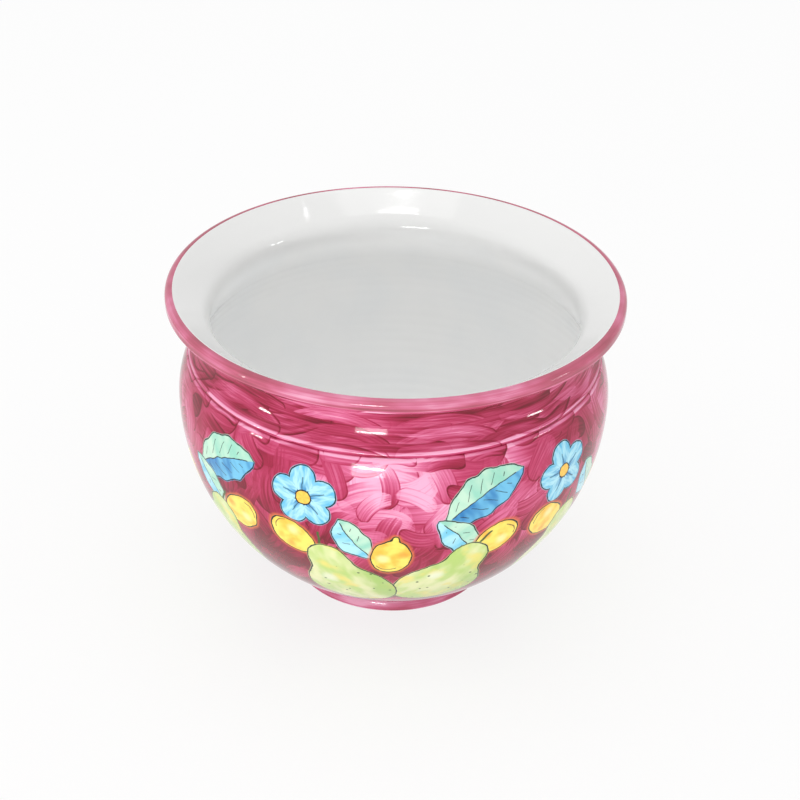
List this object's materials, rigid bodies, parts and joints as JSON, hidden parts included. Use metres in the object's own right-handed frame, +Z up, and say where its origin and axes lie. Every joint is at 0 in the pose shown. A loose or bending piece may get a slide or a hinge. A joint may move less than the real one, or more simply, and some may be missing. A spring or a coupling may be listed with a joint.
{
  "type": "cachepot",
  "caption": "Round glazed earthenware cachepot with a rolled lip, sloping white-lined flange, waisted neck, ridged shoulder and foot ring; holds a planter pot.",
  "frame": {"origin": "middle of the standing edge of the foot ring, on the surface that the pot stands on", "axes": "+Z up along the pot's axis, +X and +Y level; -Y is the side turned to the picture's camera"},
  "size_m": [0.25, 0.25, 0.181],
  "materials": {
    "biscuit": "matte",
    "white_glaze": "gloss",
    "pink_glaze": "gloss",
    "crimson_glaze": "gloss"
  },
  "bodies": {
    "root": {"bowl": "biscuit", "collar": "biscuit", "foot_ring": "biscuit", "inside_glaze": "white_glaze", "underside_glaze": "white_glaze", "lip_glaze": "pink_glaze", "neck_glaze": "crimson_glaze", "belly_glaze": "crimson_glaze", "foot_glaze": "pink_glaze"}
  },
  "joints": []
}
